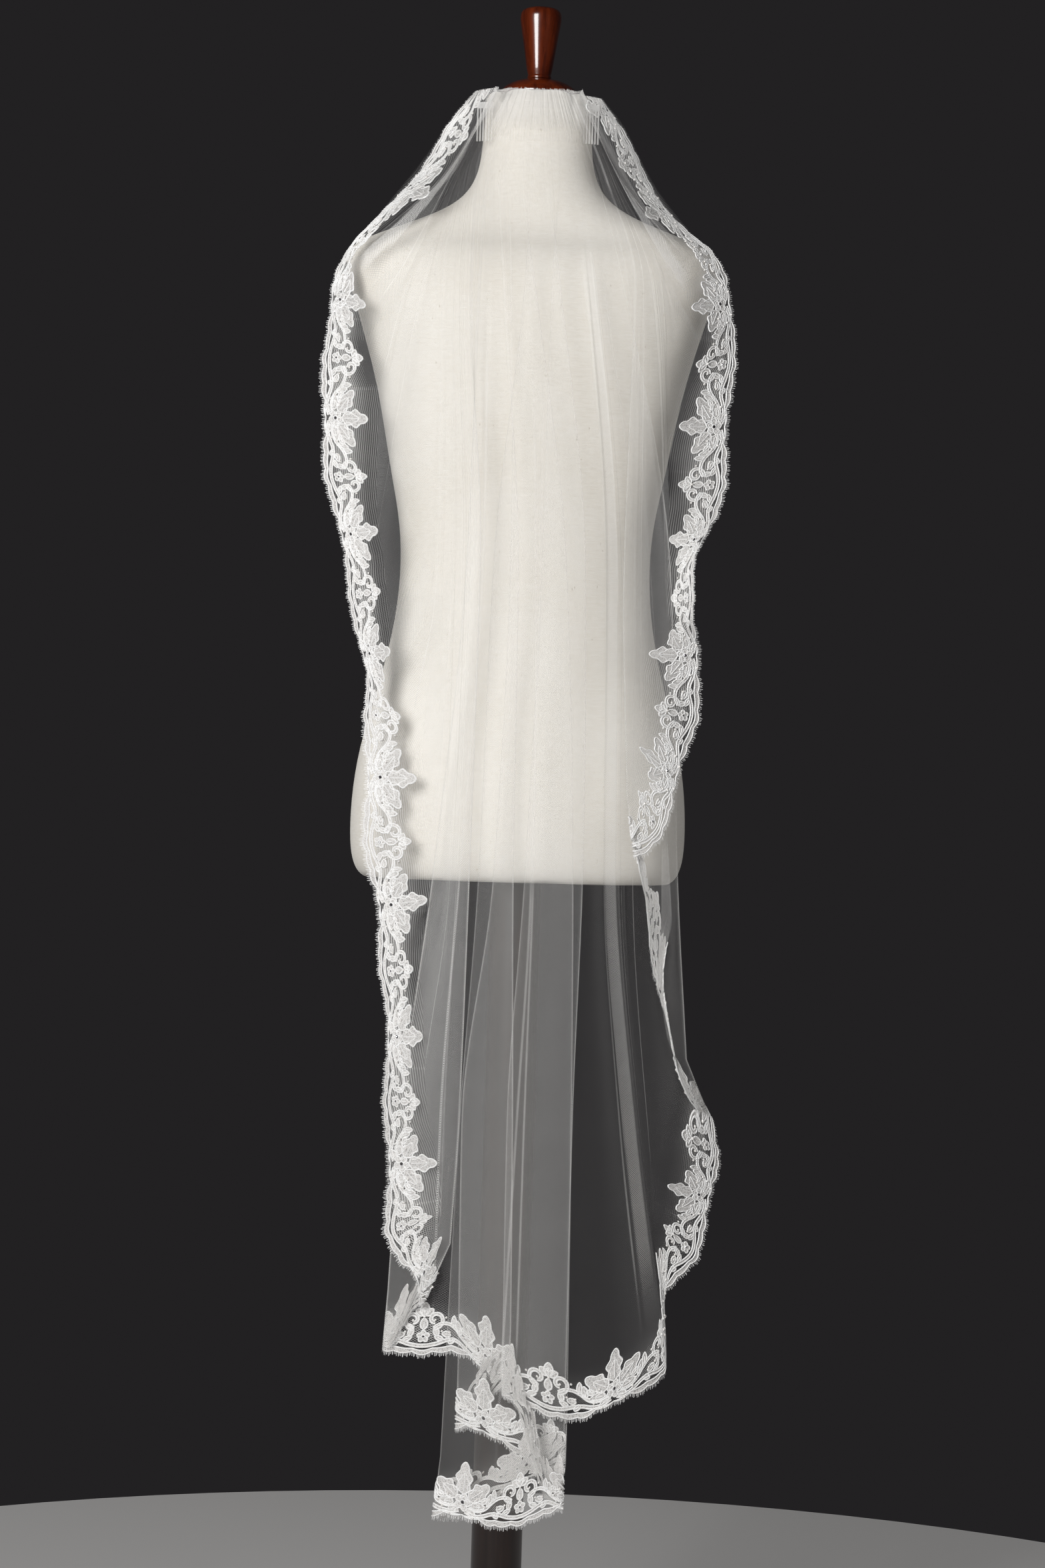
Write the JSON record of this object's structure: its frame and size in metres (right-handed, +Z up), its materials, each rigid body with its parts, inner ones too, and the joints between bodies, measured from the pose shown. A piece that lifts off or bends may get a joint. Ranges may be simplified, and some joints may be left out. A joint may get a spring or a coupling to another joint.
{
  "type": "veil on dress form",
  "caption": "Long tulle bridal veil with corded lace edging, gathered to a hair comb and hung down the back of a limbless linen dress form on a turned pole stand.",
  "frame": {"origin": "centre of the foot's flat underside, on the pole's axis", "axes": "+Z up along the pole, -Y towards the back of the form where the veil hangs and the camera stands, +X to the right in that view"},
  "size_m": [0.4114, 0.39, 1.6859],
  "materials": {
    "tulle": "soft ivory bridal tulle, sheer",
    "lace": "white corded lace with pearls and rhinestones",
    "clear_plastic": "milky clear plastic",
    "linen": "plain cream linen weave",
    "mahogany": "red-brown mahogany under gloss lacquer",
    "dark_wood": "near-black brown stained wood, satin"
  },
  "bodies": {
    "root": {"tulle": "tulle", "lace_left": "lace", "lace_hem": "lace", "lace_right": "lace", "comb": "clear_plastic", "form_torso": "linen", "neck_cap": "mahogany", "finial": "mahogany", "pole": "dark_wood", "base": "dark_wood"}
  },
  "joints": []
}
